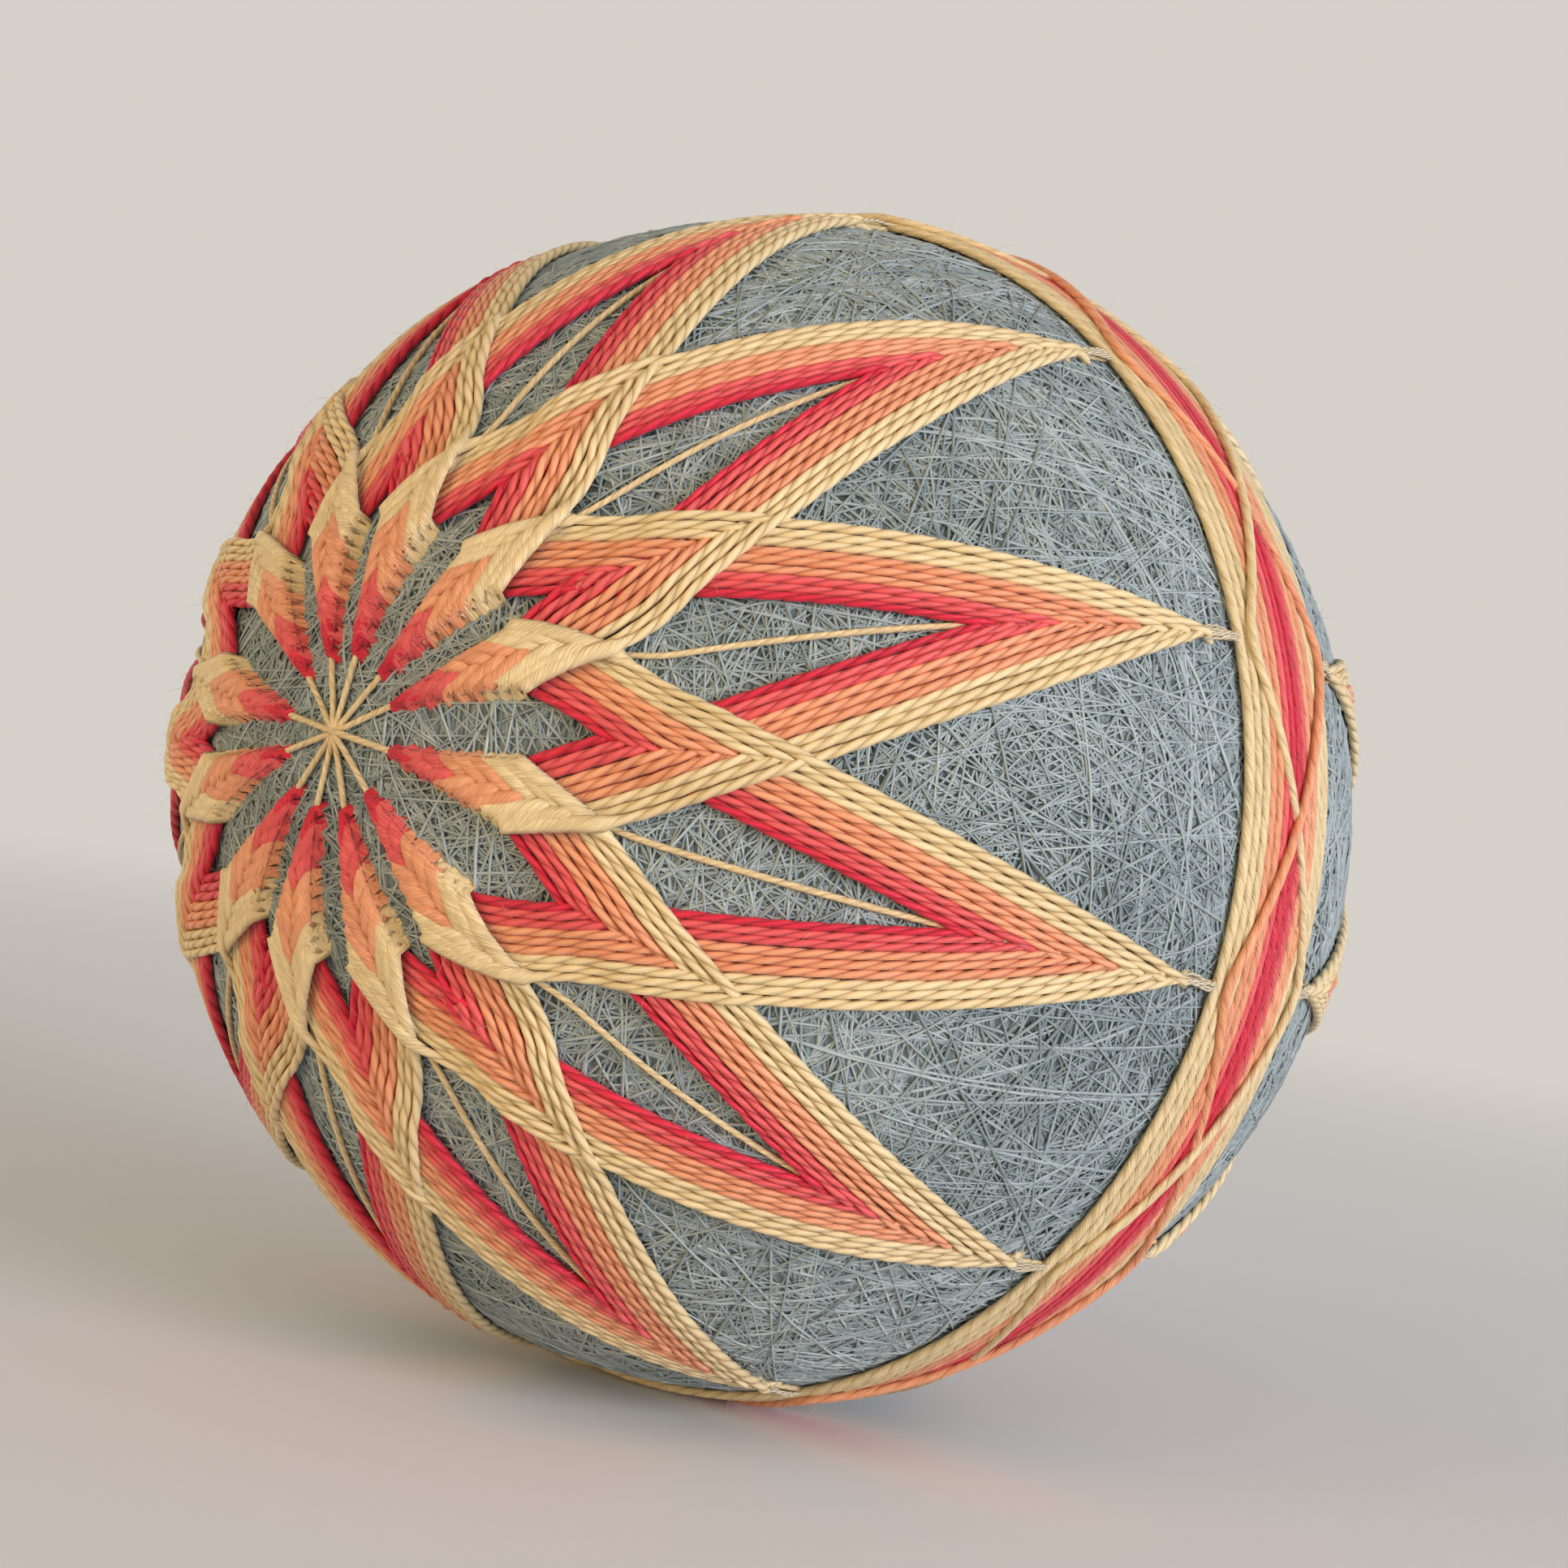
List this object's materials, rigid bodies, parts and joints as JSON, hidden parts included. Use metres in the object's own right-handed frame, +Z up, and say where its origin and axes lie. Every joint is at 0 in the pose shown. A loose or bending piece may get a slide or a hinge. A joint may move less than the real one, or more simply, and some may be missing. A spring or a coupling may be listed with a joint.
{
  "type": "temari ball",
  "caption": "Decorative thread-wound ball with a stitched chrysanthemum on each pole, dividing threads and a woven-looking belt round the middle.",
  "frame": {"origin": "middle of the small flat spot the ball rests on", "axes": "+Z up from the surface it rests on, Y along the pole axis with the front flower's pole at -Y"},
  "size_m": [0.0916, 0.0898, 0.0907],
  "materials": {
    "core_thread": "matt grey-blue sewing thread",
    "division_thread": "pale yellow twisted cotton",
    "front_thread": "soft twisted cotton in red, coral, orange and cream",
    "back_thread": "soft twisted cotton in red, coral, orange and cream",
    "belt_thread": "soft twisted cotton in cream, orange, coral and red"
  },
  "bodies": {
    "root": {"core_ball": "core_thread", "division_threads": "division_thread", "flower_front": "front_thread", "flower_back": "back_thread", "belt": "belt_thread"}
  },
  "joints": []
}
